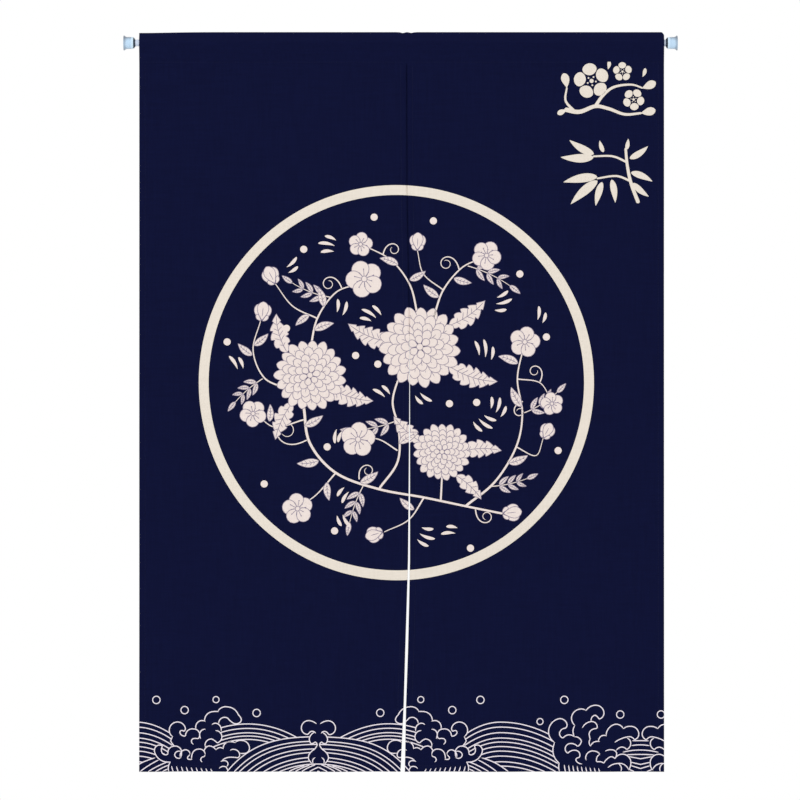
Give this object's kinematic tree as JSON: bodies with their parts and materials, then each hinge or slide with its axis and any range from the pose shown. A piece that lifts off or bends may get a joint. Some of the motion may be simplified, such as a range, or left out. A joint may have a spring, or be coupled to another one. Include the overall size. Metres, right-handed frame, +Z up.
{
  "type": "noren curtain on a tension rod",
  "caption": "Split canvas door curtain with a pocket along its top, hanging on a plain rod that presses between walls with soft flared end caps.",
  "frame": {"origin": "centre of the left end cap's flat outer face, on the rod's axis", "axes": "+X along the rod from the left cap to the right cap as seen from the printed front, +Z up, the printed front of the cloth faces -Y"},
  "size_m": [0.897, 0.0244, 1.1979],
  "materials": {
    "canvas": "matt plain-weave canvas dyed navy",
    "print": "matt cream pigment print on canvas",
    "thread": "matt navy sewing thread",
    "rod": "smooth white enamel",
    "cap": "soft translucent ice-blue plastic",
    "plug": "moulded slate-grey plastic"
  },
  "bodies": {
    "root": {"panel_left": "canvas", "panel_right": "canvas", "rod": "rod", "cap_left": "cap", "cap_right": "cap", "plug_left": "plug", "plug_right": "plug"}
  },
  "joints": []
}
